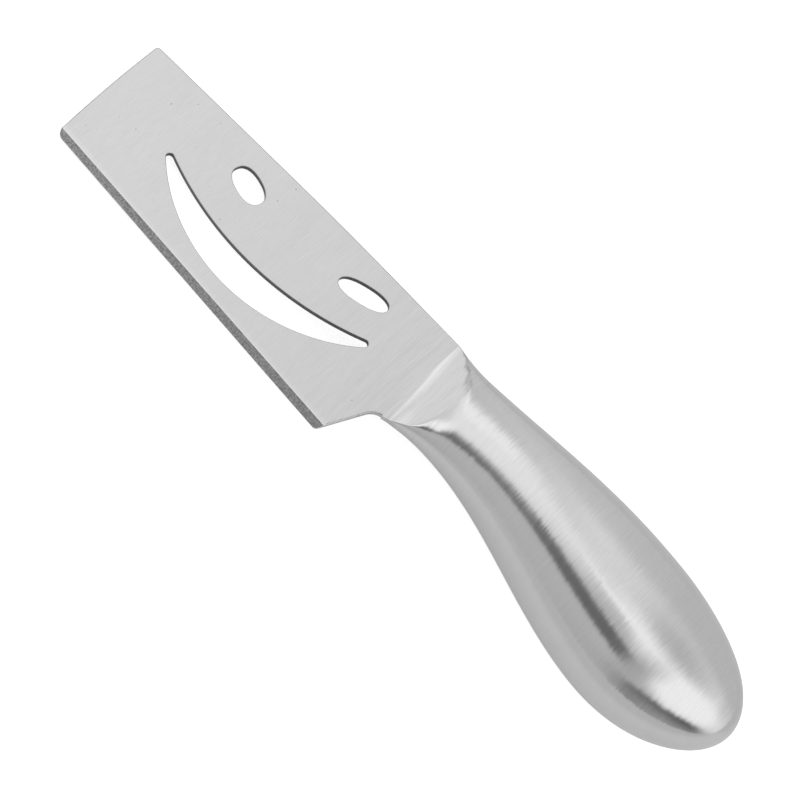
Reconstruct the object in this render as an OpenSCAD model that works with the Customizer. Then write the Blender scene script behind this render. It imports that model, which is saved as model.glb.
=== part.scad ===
// Cheese knife: a stamped, ground blade with a smile cut through it, on a hollow steel handle.
// The knife lies as it does on a table, on its tip and on the belly of its handle.
// Own frame of the knife, before it is laid down: the shoulder between blade and handle is at zero,
// +X runs to the tip, +Y to the cutting edge and +Z out of the upper face.

/* [Blade] */
// Length from the shoulder to the tip
blade_l = 72.5; // [50:0.5:110]
// Width at the heel, from the spine to the cutting edge
blade_w = 29.75; // [24:0.05:40]
// Width at the tip
tip_w = 24.55; // [18:0.05:29]
// Thickness of the ground blade
blade_t = 1.1; // [0.9:0.1:3]
// How far the rounded tip stands out between its corners
tip_crown = 0.45; // [0.1:0.05:1.2]
// How far the tip's corner at the cutting edge stands behind the corner at the spine
tip_lean = 0.4; // [0:0.05:0.8]
// Rounding of the tip's corner at the spine
spine_corner_r = 0.7; // [0.2:0.1:2]
// Rounding of the tip's corner at the cutting edge
edge_corner_r = 1.2; // [0.2:0.1:2]
// Distance from the shoulder to the corner of the heel
heel_l = 5.8; // [4:0.1:9]
// Lean of the heel's back edge, from square across
heel_angle = 26; // [10:1:35]
// Rounding of the heel's corner
heel_r = 0.8; // [0.2:0.1:2]
// Hollow of the curve from the heel into the neck
heel_hollow_r = 3; // [1.5:0.1:4]
// Width of the ground bevel along the cutting edge
bevel_w = 1.3; // [0.6:0.1:3]
// Thickness left at the cutting edge
edge_t = 0.12; // [0.08:0.01:0.6]
// How far the spine comes in at the shoulder
spine_dip = 0.5; // [0.1:0.05:1]
// Distance from the shoulder to where the spine is straight
spine_dip_l = 22; // [12:0.5:30]

/* [Tang] */
// Thickness of the sheet that the blade is stamped from
stock_t = 1.3; // [1.1:0.1:3.4]
// Width of the tang at its root
tang_w = 11; // [8:0.5:13]
// Width of the tang near its end
tang_end_w = 7; // [4:0.5:10]
// Length of the tang from the shoulder
tang_l = 30; // [22:1:45]
// Rounding of the corners at the tang's end
tang_end_r = 1.75; // [0.5:0.05:2]

/* [Smile] */
// Distance from the shoulder to the middle of the mouth
mouth_at = 34.1; // [30:0.1:40]
// Distance of the mouth's lower lip from the spine, at its deepest
mouth_drop = 22.85; // [20:0.05:24]
// Greatest height of the mouth, between the lips
mouth_gap = 6.2; // [4:0.1:8]
// Radius of the lower lip
lower_lip_r = 33.3; // [30:0.1:40]
// Radius of the upper lip
upper_lip_r = 58.4; // [50:0.1:80]
// Rounding of the mouth's corners
mouth_corner_r = 0.75; // [0.4:0.05:1.2]
// Distance from the shoulder to the front eye, on the tip's side
front_eye_at = 44; // [40:0.1:50]
// Distance of the front eye from the spine
front_eye_drop = 6.8; // [4:0.05:9]
// Length of the front eye
front_eye_l = 7.5; // [4:0.1:10]
// Height of the front eye
front_eye_w = 4.55; // [3:0.05:6]
// Turn of the front eye
front_eye_turn = -15.6; // [-40:0.1:0]
// Distance from the shoulder to the back eye, on the handle's side
back_eye_at = 17.2; // [14:0.1:22]
// Distance of the back eye from the spine
back_eye_drop = 6.15; // [4:0.05:9]
// Length of the back eye
back_eye_l = 10; // [5:0.1:12]
// Height of the back eye
back_eye_w = 3.65; // [3:0.05:6]
// Turn of the back eye
back_eye_turn = 14.2; // [0:0.1:40]

/* [Handle] */
// Length from the shoulder to the end of the handle
handle_l = 77.2; // [65:0.1:110]
// Width of the neck, where the handle is slimmest
neck_w = 17; // [14:0.1:20]
// Distance from the shoulder to the slimmest place
neck_at = 8.6; // [6:0.1:12]
// How far each side of the neck flares towards the blade
neck_flare = 1.25; // [0.4:0.05:1.6]
// Distance of the neck's middle line from the blade's middle line, towards the spine
neck_offset = 4.8; // [3:0.05:6]
// Greatest width of the handle
bulb_w = 26.3; // [20:0.1:34]
// Distance from the shoulder to the widest place
bulb_at = 52.5; // [40:0.1:60]
// Height of the handle at the shoulder, before the neck is ground
shoulder_h = 6.4; // [4:0.1:8]
// Greatest height of the handle
bulb_h = 22; // [14:0.1:26]
// Distance of the handle's end from the blade's middle line, towards the cutting edge
end_offset = 1.5; // [0:0.05:4]
// Distance from the shoulder to where the handle's bow ends
bow_l = 70.6; // [60:0.1:76]
// Wall of the pressed handle halves
wall = 1; // [0.6:0.1:1.6]

/* [Neck] */
// Distance from the shoulder to where the ground flat runs out on the handle's crest
flat_l = 8.3; // [7:0.1:12]
// Distance from the shoulder to where the flat's plane meets the blade's face
flat_start = 1.7; // [1.2:0.1:3]
// Radius of the hollow between the blade's face and the flat
hollow_r = 4.5; // [3:0.1:7]
// Step from the blade's face up to the neck's front edge
front_step = 0.1; // [0.05:0.01:0.3]
// Step from the blade's curve at the shoulder out to the neck's side
side_step = 0.22; // [0.1:0.01:0.4]
// Solid length behind the end of the flat
neck_back = 0.4; // [0.2:0.1:2]
// Length of the weld between the neck and the handle halves
neck_weld_l = 0.8; // [0.4:0.1:2]
// Thickness of the weld between the two handle halves
seam_t = 0.6; // [0.3:0.1:1]

/* [Hidden] */

// Power of the handle's oval section: 2 is an ellipse, and more is squarer
section_power_share = 2.3;
// Counts of facets on the handle's rings and of rings along it
half_ring_steps = 28;
grip_steps = 22;
end_steps = 14;
neck_steps = 10;
arc_steps = 10;
round_fn = 96;
// One overrun for all cuts
overrun = 2;

spine_y = -blade_w / 2;
edge_y = blade_w / 2;
tip_edge_y = spine_y + tip_w;
end_l = handle_l - bulb_at;
bolster_l = flat_l + neck_back;
shell_front = bolster_l + neck_weld_l;
tang_y = -neck_offset;
lip_z = blade_t / 2 + front_step;

// Easing from 0 to 1 with level ends
function ease(t) = (1 - cos(180 * min(max(t, 0), 1))) / 2;
function between(a, b, t) = a + (b - a) * t;

// The handle's rules: half width, half height and middle line at a distance behind the shoulder
function half_w(s) =
    neck_w / 2
    + (bulb_w - neck_w) / 2 * ease((s - neck_at) / (bulb_at - neck_at))
    + neck_flare * pow(max(0, 1 - s / neck_at), 2);
function half_h(s) = between(shoulder_h, bulb_h, sin(90 * min(s / bulb_at, 1))) / 2;
function middle(s) = between(-neck_offset, end_offset, ease((s - neck_at) / (bow_l - neck_at)));

// A station is its distance behind the shoulder, half width, half height and middle line
function plain_station(s, inset) = [s, half_w(s) - inset, half_h(s) - inset, middle(s)];
function end_station(t, inset) =
    let (
        turn = t * acos(seam_t / 2 / (bulb_h / 2 - inset)),
        s = bulb_at + (end_l - inset) * sin(turn)
    )
    [s, (bulb_w / 2 - inset) * cos(turn), (bulb_h / 2 - inset) * cos(turn), middle(s)];
function shell_stations(inset) = concat(
    [for (i = [0:grip_steps - 1]) plain_station(between(shell_front, bulb_at, i / grip_steps), inset)],
    [for (i = [0:end_steps - 1]) end_station(i / end_steps, inset)]);
function pole(inset) =
    let (last = end_station(1, inset))
    [-last[0], last[3], seam_t / 2];

// A point of the oval section, at an angle from the cutting edge's side
function oval(v) = sign(v) * pow(abs(v), 2 / section_power_share);
function section_point(st, turn) = [-st[0], st[3] + st[1] * oval(cos(turn)), st[2] * oval(sin(turn))];
function half_ring(st) =
    let (low = asin(pow(seam_t / 2 / st[2], section_power_share / 2)))
    [for (j = [0:half_ring_steps]) section_point(st, between(low, 180 - low, j / half_ring_steps))];
function full_ring(st) =
    let (count = 2 * half_ring_steps)
    [for (j = [0:count - 1]) section_point(st, 360 * j / count)];
function seam_y(st, side) =
    st[3] + side * st[1] * pow(1 - pow(seam_t / 2 / st[2], section_power_share), 1 / section_power_share);

// Faces of a skin over rows of points, and the same faces seen from the other side
function skin(first, rows, cols, wrapped) = [
    for (i = [0:rows - 2], j = [0:wrapped ? cols - 1 : cols - 2])
        let (
            a = first + i * cols + j,
            b = first + i * cols + (j + 1) % cols
        )
        each [[a, b, b + cols], [a, b + cols, a + cols]]
];
function flipped(faces) = [for (f = faces) [f[2], f[1], f[0]]];
function quad(a, b, c, d) = [[a, b, c], [a, c, d]];
function flat(lists) = [for (l = lists) each l];

// The corners of an outline rounded one by one, each with its own radius
function toward(a, b) = (b - a) / norm(b - a);
function rounded_corner(p, q, n, r) =
    let (
        u = toward(q, p),
        v = toward(q, n),
        half_turn = acos(u * v) / 2,
        centre = q + toward([0, 0], u + v) * r / sin(half_turn),
        start = q + u * r / tan(half_turn) - centre,
        side = sign(u[1] * v[0] - u[0] * v[1]),
        sweep = 180 - 2 * half_turn,
        from = atan2(start[1], start[0])
    )
    [for (k = [0:arc_steps])
        let (a = from + side * sweep * k / arc_steps)
        centre + r * [cos(a), sin(a)]];
function rounded_outline(points, radii) =
    let (count = len(points))
    flat([for (i = [0:count - 1])
        radii[i] == 0
            ? [points[i]]
            : rounded_corner(points[(i + count - 1) % count], points[i], points[(i + 1) % count], radii[i])]);

// Outline of the blade, from the shoulder along the spine, round the tip and back along the edge
neck_side_y = middle(0) + half_w(0) - side_step;
heel_foot_x = heel_l - (edge_y - neck_side_y) * tan(heel_angle);
tip_middle = [blade_l + tip_crown - tip_lean / 2, (spine_y + tip_edge_y) / 2];
crown_turn = 2 * atan(2 * tip_crown / tip_w);
crown_r = (tip_w / 2 - 2 * edge_corner_r) / tan(crown_turn / 2);
lean_turn = atan(tip_lean / tip_w);
tip_reach = tip_middle[0] - crown_r * (cos(lean_turn) / cos(crown_turn / 2) - 1);
dip_turn = atan(spine_dip / spine_dip_l);
dip_r = spine_dip_l / 2 / tan(dip_turn / 2);
blade_corners = [
    [-heel_l, spine_y + spine_dip + heel_l * tan(dip_turn)],
    [spine_dip_l, spine_y],
    [blade_l, spine_y],
    tip_middle,
    [blade_l - tip_lean, tip_edge_y],
    [heel_l, edge_y],
    [heel_foot_x, neck_side_y],
    [-heel_l, neck_side_y]
];
blade_radii = [0, dip_r, spine_corner_r, crown_r, edge_corner_r, heel_r, heel_hollow_r, 0];

// Centres of the two lips and of the rounded corners between them
lower_lip_y = spine_y + mouth_drop - lower_lip_r;
upper_lip_y = spine_y + mouth_drop - mouth_gap - upper_lip_r;
corner_lower = lower_lip_r - mouth_corner_r;
corner_upper = upper_lip_r + mouth_corner_r;
lip_rise = lower_lip_y - upper_lip_y;
corner_rise = (corner_upper * corner_upper - corner_lower * corner_lower - lip_rise * lip_rise) / (2 * lip_rise);
corner_y = lower_lip_y + corner_rise;
corner_x = sqrt(corner_lower * corner_lower - corner_rise * corner_rise);

// The ground flat of the neck, as a profile seen from the side
flat_end_z = half_h(flat_l);
flat_angle = atan((flat_end_z - lip_z) / (flat_l - flat_start));
hollow_reach = hollow_r * tan(flat_angle / 2);
hollow_start = flat_start - hollow_reach;

// The knife laid down: tipped until the belly and the tip share one level
belly_steps = 60;
rest_tilt = max([for (i = [0:belly_steps])
    let (s = bulb_at * i / belly_steps)
    atan((half_h(s) - blade_t / 2) / (tip_reach + s))]);
front_reach = tip_reach * cos(rest_tilt) + blade_t / 2 * sin(rest_tilt);
back_reach = bulb_at * cos(rest_tilt)
    + sqrt(pow(end_l * cos(rest_tilt), 2) + pow(bulb_h / 2 * sin(rest_tilt), 2));
rest_lift = tip_reach * sin(rest_tilt) + blade_t / 2 * cos(rest_tilt);

module lying() {
    translate([(back_reach - front_reach) / 2, 0, rest_lift])
        rotate([0, rest_tilt, 0])
            children();
}

module eye(at, drop, l, w, turn) {
    translate([at, spine_y + drop])
        rotate(turn)
            scale([1, w / l])
                circle(d = l, $fn = round_fn);
}

// A lens between the two lips, cut off where its corners are rounded
module mouth() {
    lower_tangent = [corner_x, corner_rise] * lower_lip_r / corner_lower + [0, lower_lip_y];
    upper_tangent = [corner_x, corner_y - upper_lip_y] * upper_lip_r / corner_upper + [0, upper_lip_y];
    side = [upper_tangent, lower_tangent, [lower_tangent[0], edge_y]];
    mirrored = [for (i = [len(side) - 1:-1:0]) [-side[i][0], side[i][1]]];
    translate([mouth_at, 0]) {
        intersection() {
            difference() {
                translate([0, lower_lip_y])
                    circle(r = lower_lip_r, $fn = round_fn);
                translate([0, upper_lip_y])
                    circle(r = upper_lip_r, $fn = round_fn);
            }
            polygon(concat(side, mirrored));
        }
        for (x = [-corner_x, corner_x])
            translate([x, corner_y])
                circle(r = mouth_corner_r, $fn = round_fn);
    }
}

module tang_outline() {
    straight = bolster_l + neck_weld_l;
    polygon(rounded_outline(
        [
            [overrun, tang_y - tang_w / 2],
            [overrun, tang_y + tang_w / 2],
            [-straight, tang_y + tang_w / 2],
            [-tang_l, tang_y + tang_end_w / 2],
            [-tang_l, tang_y - tang_end_w / 2],
            [-straight, tang_y - tang_w / 2]
        ],
        [0, 0, 0, tang_end_r, tang_end_r, 0]));
}

module blade_outline() {
    difference() {
        polygon(rounded_outline(blade_corners, blade_radii));
        translate([-handle_l, -blade_w])
            square([handle_l, 2 * blade_w]);
        mouth();
        eye(front_eye_at, front_eye_drop, front_eye_l, front_eye_w, front_eye_turn);
        eye(back_eye_at, back_eye_drop, back_eye_l, back_eye_w, back_eye_turn);
    }
}

// Wedge ground off one face along the cutting edge
module bevel_cut() {
    run = blade_l - tip_lean - heel_l;
    lean = atan((edge_y - tip_edge_y) / run);
    length = run / cos(lean);
    slope = (blade_t - edge_t) / 2 / bevel_w;
    translate([heel_l, edge_y, 0])
        rotate([0, 0, -lean])
            translate([-overrun, 0, 0])
                rotate([90, 0, 90])
                    linear_extrude(length + 2 * overrun)
                        polygon([
                            [-bevel_w, blade_t / 2],
                            [overrun, edge_t / 2 - slope * overrun],
                            [overrun, blade_t / 2 + overrun],
                            [-bevel_w, blade_t / 2 + overrun]
                        ]);
}

module blade() {
    color("gainsboro")
        lying() {
            difference() {
                translate([0, 0, -blade_t / 2])
                    linear_extrude(blade_t)
                        blade_outline();
                bevel_cut();
                mirror([0, 0, 1])
                    bevel_cut();
            }
            translate([0, 0, -stock_t / 2])
                linear_extrude(stock_t)
                    intersection() {
                        tang_outline();
                        translate([-handle_l, -blade_w])
                            square([handle_l, 2 * blade_w]);
                    }
        }
}

// What the grinding leaves of the neck, as seen from the side
module neck_profile() {
    hollow = [for (k = [0:arc_steps])
        let (a = flat_angle * k / arc_steps)
        [-hollow_start - hollow_r * sin(a), lip_z + hollow_r * (1 - cos(a))]];
    past_end = flat_end_z + overrun * tan(flat_angle);
    upper = concat([[0, lip_z]], hollow, [[-flat_l - overrun, past_end]]);
    lower = [for (i = [len(upper) - 1:-1:0]) [upper[i][0], -upper[i][1]]];
    polygon(concat(upper, lower));
}

module neck_bolster() {
    stations = [for (i = [0:neck_steps]) plain_station(bolster_l * i / neck_steps, 0)];
    cols = 2 * half_ring_steps;
    last = cols * neck_steps;
    color("silver")
        lying()
            difference() {
                intersection() {
                    polyhedron(
                        points = flat([for (st = stations) full_ring(st)]),
                        faces = concat(
                            skin(0, neck_steps + 1, cols, true),
                            [[for (j = [cols - 1:-1:0]) j]],
                            [[for (j = [0:cols - 1]) last + j]]));
                    translate([0, blade_w, 0])
                        rotate([90, 0, 0])
                            linear_extrude(2 * blade_w)
                                neck_profile();
                }
                translate([-bolster_l - overrun, tang_y - tang_w / 2, -stock_t / 2])
                    cube([bolster_l + 2 * overrun, tang_w, stock_t]);
            }
}

module neck_weld() {
    outer = [plain_station(bolster_l, 0), plain_station(shell_front, 0)];
    inner = [plain_station(bolster_l, wall), plain_station(shell_front, wall)];
    cols = 2 * half_ring_steps;
    color("darkgray")
        lying()
            polyhedron(
                points = flat([for (st = concat(outer, inner)) full_ring(st)]),
                faces = concat(
                    skin(0, 2, cols, true),
                    flipped(skin(2 * cols, 2, cols, true)),
                    flat([for (j = [0:cols - 1])
                        let (n = (j + 1) % cols)
                        concat(
                            quad(2 * cols + j, 2 * cols + n, n, j),
                            quad(cols + j, cols + n, 3 * cols + n, 3 * cols + j))])));
}

// One pressed half: an outer and an inner skin, joined at the seam and at the front
module half_shell() {
    outer = shell_stations(0);
    inner = shell_stations(wall);
    rows = len(outer);
    cols = half_ring_steps + 1;
    total = rows * cols;
    outer_pole = 2 * total;
    inner_pole = outer_pole + 1;
    last = (rows - 1) * cols;
    polyhedron(
        points = concat(
            flat([for (st = concat(outer, inner)) half_ring(st)]),
            [pole(0), pole(wall)]),
        faces = concat(
            skin(0, rows, cols, false),
            flipped(skin(total, rows, cols, false)),
            flat([for (j = [0:cols - 2]) concat(
                [[last + j, last + j + 1, outer_pole]],
                [[inner_pole, total + last + j + 1, total + last + j]],
                quad(total + j, total + j + 1, j + 1, j))]),
            flat([for (i = [0:rows - 2])
                let (
                    a = i * cols,
                    b = a + cols - 1
                )
                concat(
                    quad(a, a + cols, total + a + cols, total + a),
                    quad(total + b, total + b + cols, b + cols, b))]),
            quad(last, outer_pole, inner_pole, total + last),
            quad(total + last + cols - 1, inner_pole, outer_pole, last + cols - 1)));
}

module handle_top_shell() {
    color("silver")
        lying()
            half_shell();
}

module handle_bottom_shell() {
    color("silver")
        lying()
            mirror([0, 0, 1])
                half_shell();
}

// Outline of the handle at the seam, as far in as the inset
module seam_outline(inset) {
    stations = shell_stations(inset);
    tip = pole(inset);
    polygon(concat(
        [for (st = stations) [-st[0], seam_y(st, 1)]],
        [[tip[0], tip[1]]],
        [for (i = [len(stations) - 1:-1:0]) [-stations[i][0], seam_y(stations[i], -1)]]));
}

module seam_weld() {
    color("darkgray")
        lying()
            translate([0, 0, -seam_t / 2])
                linear_extrude(seam_t)
                    difference() {
                        seam_outline(0);
                        seam_outline(wall);
                    }
}

blade();
neck_bolster();
neck_weld();
handle_top_shell();
handle_bottom_shell();
seam_weld();
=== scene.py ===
"""Looks of the cheese knife: its ground and pressed steel pieces, and the pale studio it lies in."""

import logging
import math
from collections.abc import Callable, Sequence
from dataclasses import MISSING, dataclass, field, fields, replace
from enum import Enum

import bmesh
import bpy
import numpy as np
from mathutils import Matrix, Vector


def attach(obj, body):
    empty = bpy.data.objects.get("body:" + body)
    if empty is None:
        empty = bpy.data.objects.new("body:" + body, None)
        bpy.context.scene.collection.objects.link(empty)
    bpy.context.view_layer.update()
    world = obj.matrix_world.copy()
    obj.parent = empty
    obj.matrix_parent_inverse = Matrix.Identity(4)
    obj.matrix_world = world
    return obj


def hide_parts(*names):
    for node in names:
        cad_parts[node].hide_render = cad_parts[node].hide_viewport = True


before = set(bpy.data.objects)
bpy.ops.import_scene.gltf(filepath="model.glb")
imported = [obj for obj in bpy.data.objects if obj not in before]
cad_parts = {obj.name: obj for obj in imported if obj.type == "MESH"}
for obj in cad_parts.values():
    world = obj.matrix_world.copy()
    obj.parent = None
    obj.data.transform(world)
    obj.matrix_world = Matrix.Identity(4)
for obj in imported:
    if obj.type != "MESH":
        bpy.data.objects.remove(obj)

LOG = logging.getLogger("cheese_knife")
MM = 0.001
TINY = 1e-4


class Slot(Enum):
    """The part's material slots."""

    BLADE = "blade_steel"
    NECK = "neck_steel"
    HANDLE = "handle_steel"
    WELD = "weld_steel"


class Face(Enum):
    """The blade's two faces, by the way that they point."""

    UPPER = 1
    LOWER = -1


class Graph:
    """A node tree that grows by one method, with wrapped sockets for its maths."""

    def __init__(self, tree: bpy.types.NodeTree) -> None:
        """Wrap a tree.

        Args:
            tree: The shader or geometry tree that nodes are added to.
        """
        self.tree = tree

    def node(self, kind: str, inputs: dict | None = None, **settings: object) -> bpy.types.Node:
        """Add one node.

        Args:
            kind: The node's type name.
            inputs: Socket values or wrapped sockets, by socket name or number.
            settings: Properties of the node itself.

        Returns:
            The new node.
        """
        node = self.tree.nodes.new(kind)
        for name, value in settings.items():
            setattr(node, name, value)
        for name, value in (inputs or {}).items():
            if isinstance(value, Expr):
                self.tree.links.new(value.socket, node.inputs[name])
            else:
                node.inputs[name].default_value = value
        return node

    def expr(self, kind: str, inputs: dict | None = None, out: str | int = 0, **settings: object) -> "Expr":
        """Add one node and wrap one of its outputs.

        Args:
            kind: The node's type name.
            inputs: Socket values or wrapped sockets, by socket name or number.
            out: Name or number of the wanted output.
            settings: Properties of the node itself.

        Returns:
            The wrapped output.
        """
        return Expr(self, self.node(kind, inputs, **settings).outputs[out])

    def math(self, operation: str, *values: "Number") -> "Expr":
        """A Math node over the values, in order."""
        return self.expr("ShaderNodeMath", dict(enumerate(values)), operation=operation)

    def vector(self, operation: str, *values: object, out: str = "Vector") -> "Expr":
        """A Vector Math node over the values, in order."""
        return self.expr("ShaderNodeVectorMath", dict(enumerate(values)), out, operation=operation)

    def scaled(self, vector: object, factor: "Number") -> "Expr":
        """A vector times a number."""
        return self.expr("ShaderNodeVectorMath", {0: vector, "Scale": factor}, operation="SCALE")

    def joined(self, x: "Number", y: "Number", z: "Number") -> "Expr":
        """A vector from its three shares."""
        return self.expr("ShaderNodeCombineXYZ", {0: x, 1: y, 2: z})

    def share(self, vector: "Expr", axis: str) -> "Expr":
        """One of the three shares of a vector, by its letter."""
        return self.expr("ShaderNodeSeparateXYZ", {"Vector": vector}, axis)

    def mark(self, name: str) -> "Expr":
        """A value that the mesh's corners carry."""
        return self.expr("ShaderNodeAttribute", out="Fac", attribute_name=name)


def operator(operation: str, reflected: bool = False) -> Callable[["Expr", "Number"], "Expr"]:
    """An arithmetic method for wrapped sockets.

    Args:
        operation: The Math node's operation.
        reflected: Whether the wrapped socket is the second of the two values.

    Returns:
        The method.
    """

    def method(self: "Expr", other: "Number") -> "Expr":
        """A Math node over the socket and the other value."""
        pair = (other, self) if reflected else (self, other)
        return self.graph.math(operation, *pair)

    return method


class Expr:
    """One output of a node; arithmetic on it adds Math nodes to its graph."""

    def __init__(self, graph: Graph, socket: bpy.types.NodeSocket) -> None:
        """Wrap a socket.

        Args:
            graph: The graph that the socket belongs to.
            socket: An output socket.
        """
        self.graph = graph
        self.socket = socket

    __add__ = operator("ADD")
    __radd__ = operator("ADD", reflected=True)
    __sub__ = operator("SUBTRACT")
    __rsub__ = operator("SUBTRACT", reflected=True)
    __mul__ = operator("MULTIPLY")
    __rmul__ = operator("MULTIPLY", reflected=True)
    __truediv__ = operator("DIVIDE")
    __rtruediv__ = operator("DIVIDE", reflected=True)


Number = Expr | float | np.ndarray


def rule_of(operation: str, plain: Callable) -> Callable[..., Number]:
    """One rule for nodes and for plain numbers alike.

    Args:
        operation: The Math node's operation.
        plain: The same operation on numbers or arrays.

    Returns:
        A function whose result is a wrapped socket if one of its values is one, else numbers.
    """

    def result(*values: Number) -> Number:
        """The operation's result."""
        graph = next((value.graph for value in values if isinstance(value, Expr)), None)
        return plain(*values) if graph is None else graph.math(operation, *values)

    return result


sine = rule_of("SINE", np.sin)
cosine = rule_of("COSINE", np.cos)
arcsine = rule_of("ARCSINE", np.arcsin)
smaller = rule_of("MINIMUM", np.minimum)
larger = rule_of("MAXIMUM", np.maximum)
raised = rule_of("POWER", np.power)
root = rule_of("SQRT", np.sqrt)
size_of = rule_of("ABSOLUTE", np.abs)
sign_of = rule_of("SIGN", np.sign)


def clamped(a: Number) -> Number:
    """A value held between 0 and 1."""
    return smaller(larger(a, 0.0), 1.0)


def ramp(a: Number, zero_at: float, one_at: float) -> Number:
    """A straight way from 0 at one value to 1 at another, level beyond them."""
    return clamped((a - zero_at) * (1 / (one_at - zero_at)))


def ease(a: Number) -> Number:
    """Easing from 0 to 1 with level ends."""
    return (1.0 - cosine(math.pi * clamped(a))) * 0.5


def between(a: Number, b: Number, t: Number) -> Number:
    """The value at a share of the way from a to b."""
    return a + (b - a) * t


@dataclass(frozen=True)
class HandleRule:
    """The handle's lengths in mm and the rules of its skin; the lengths may also be wrapped sockets."""

    handle_l: Number = 77.2
    neck_w: Number = 17.0
    neck_at: Number = 8.6
    neck_flare: Number = 1.25
    neck_offset: Number = 4.7
    bulb_w: Number = 26.45
    bulb_at: Number = 52.5
    shoulder_h: Number = 6.4
    bulb_h: Number = 22.0
    end_offset: Number = 1.6
    bow_l: Number = 69.6
    section_power: Number = 2.3
    face_z: Number = 0.55
    flat_l: Number = 8.3
    flat_start: Number = 1.25
    flat_slope: Number = 0.677
    flat_roll: Number = 0.1
    roll_run: Number = 5.0
    hollow_r: Number = 4.7
    hollow_spread: Number = 0.32
    crease_r: Number = 0.3
    crest_r: Number = 0.5
    crest_from: Number = 5.0
    side_r: Number = 1.2
    side_from: Number = 4.2
    side_run: Number = 4.0
    side_reach: Number = 1.6

    def half_width(self, s: Number) -> Number:
        """Half width before the end is rounded.

        Args:
            s: Distance behind the shoulder.

        Returns:
            The half width there.
        """
        flare = larger(1.0 - s / self.neck_at, 0.0)
        swell = ease((s - self.neck_at) / (self.bulb_at - self.neck_at))
        return between(self.neck_w, self.bulb_w, swell) * 0.5 + self.neck_flare * flare * flare

    def half_height(self, s: Number) -> Number:
        """Half height at a distance behind the shoulder, before the end is rounded."""
        rise = sine(smaller(s / self.bulb_at, 1.0) * (math.pi / 2))
        return between(self.shoulder_h, self.bulb_h, rise) * 0.5

    def middle(self, s: Number) -> Number:
        """The middle line's sideways place at a distance behind the shoulder."""
        bow = ease((s - self.neck_at) / (self.bow_l - self.neck_at))
        return between(-1.0 * self.neck_offset, self.end_offset, bow)

    def ground_level(self, s: Number, aside: Number) -> Number:
        """Height of the ground hollow and flat.

        Args:
            s: Distance behind the shoulder.
            aside: Distance from the middle line towards the cutting edge's side.

        Returns:
            The height, a little less on the cutting edge's side.
        """
        cos = 1.0 / root(1.0 + self.flat_slope * self.flat_slope)
        sin = self.flat_slope * cos
        r = self.hollow_r - self.hollow_spread * aside
        start = self.flat_start - r * sin / (1.0 + cos)
        into = smaller(larger(s - start, 0.0), r * sin)
        hollow = r - root(r * r - into * into)
        roll = self.flat_roll * aside * ease((s - start) / self.roll_run)
        return self.face_z + hollow + larger(s - start - r * sin, 0.0) * self.flat_slope - roll

    def ground(self, height: Number, s: Number, across: Number, aside: Number) -> Number:
        """The skin's height after grinding, with a crease that is softest on the cutting edge's side.

        Args:
            height: Height of the skin before it is ground.
            s: Distance behind the shoulder.
            across: Cosine of the section angle, 1 on the cutting edge's side.
            aside: Distance from the middle line towards the cutting edge's side.

        Returns:
            The height left.
        """
        level = self.ground_level(s, aside)
        crest = ease((s - self.crest_from) / (self.flat_l - self.crest_from))
        side = ease((s - self.side_from) / self.side_run) * clamped(across * self.side_reach)
        soft = between(self.crease_r, self.crest_r, crest) + self.side_r * side
        # The lower of the two heights, blended where they lie closer than the rounding.
        share = clamped(0.5 + (level - height) * 0.5 / soft)
        return level + (height - level) * share - soft * share * (1.0 - share)

    def place(self, along: Number) -> tuple[Number, Number]:
        """Distance behind the shoulder and shrinking share at a length along the handle's back.

        Args:
            along: Distance behind the shoulder up to the widest place, then arc length round the end.

        Returns:
            The distance behind the shoulder, and the share that the rounded end leaves of the section.
        """
        end_l = self.handle_l - self.bulb_at
        turn = larger(along - self.bulb_at, 0.0) / end_l
        return smaller(along, self.bulb_at) + end_l * sine(turn), cosine(turn)

    def seam_turn(self, along: Number, seam_half: Number) -> Number:
        """The section angle at which the skin is as high as the seam weld's edge.

        Args:
            along: Length along the handle's back, as in place().
            seam_half: Half the seam weld's thickness.

        Returns:
            The angle in radians.
        """
        s, shrink = self.place(along)
        ratio = smaller(seam_half / larger(self.half_height(s) * shrink, TINY), 1.0)
        return arcsine(raised(ratio, self.section_power * 0.5))

    def point(self, along: Number, turn: Number) -> tuple[Number, Number, Number]:
        """A point of the skin.

        Args:
            along: Length along the handle's back, as in place().
            turn: Angle round the section in radians, from the cutting edge's side.

        Returns:
            The point's three coordinates in the knife's own frame.
        """
        s, shrink = self.place(along)
        across, up = cosine(turn), sine(turn)
        power = 2.0 / self.section_power
        wide = self.half_width(s) * shrink * sign_of(across) * raised(size_of(across), power)
        high = self.half_height(s) * shrink * raised(size_of(up), power)
        return -1.0 * s, self.middle(s) + wide, sign_of(up) * self.ground(high, s, across, wide)

    def normals(self, along: np.ndarray, turn: np.ndarray) -> np.ndarray:
        """Outward directions of the skin, from small steps along the rule.

        Args:
            along: Lengths along the handle's back.
            turn: Angles round the section.

        Returns:
            One direction for each place; the handle's very end points straight back.
        """

        def stepped(along_step: float, turn_step: float) -> np.ndarray:
            """The skin's points a small step away."""
            return np.stack(self.point(along + along_step, turn + turn_step), axis=1)

        ahead = stepped(TINY, 0.0) - stepped(-TINY, 0.0)
        round_it = stepped(0.0, TINY) - stepped(0.0, -TINY)
        out = np.cross(ahead, round_it)
        length = np.linalg.norm(out, axis=1, keepdims=True)
        least = TINY**3
        return np.where(length > least, out / np.maximum(length, least), [-1.0, 0.0, 0.0])


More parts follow.
